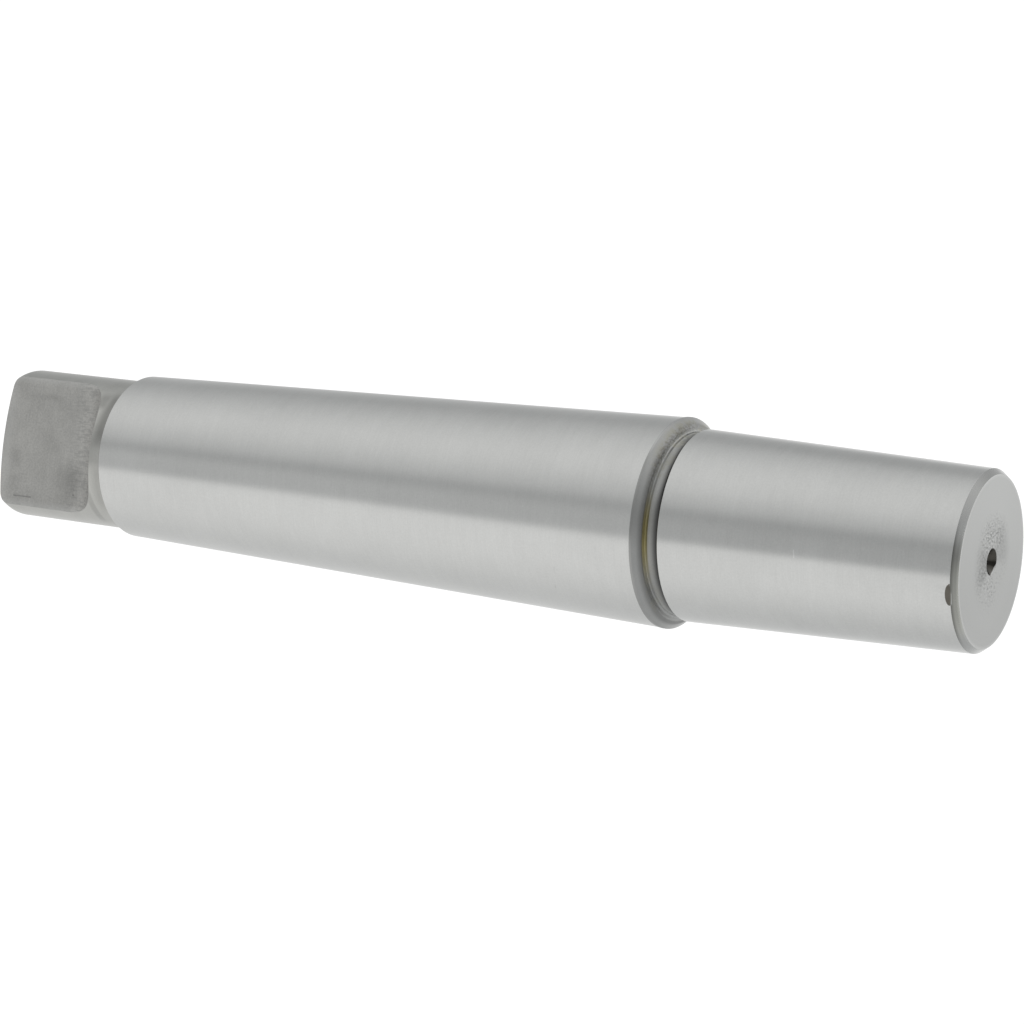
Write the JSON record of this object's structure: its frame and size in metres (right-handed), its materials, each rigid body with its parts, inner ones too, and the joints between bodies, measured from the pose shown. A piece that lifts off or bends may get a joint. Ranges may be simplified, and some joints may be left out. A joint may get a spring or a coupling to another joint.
{
  "type": "drill chuck arbor",
  "caption": "One-piece ground steel arbor that carries a drill chuck on its short nose taper and is driven in a machine spindle by its long taper shank and flat tang.",
  "frame": {"origin": "centre of the nose face, which the arbor stands on, at the bottom of its box", "axes": "+Z along the arbor's axis from the nose face up to the tang; the tang's two flats face -Y and +Y"},
  "size_m": [0.0318, 0.0318, 0.1733],
  "materials": {
    "ground_steel": "fine ground satin on both tapers, dull milled tang, satin turned collar and groove"
  },
  "bodies": {
    "root": {"arbor": "ground_steel"}
  },
  "joints": []
}
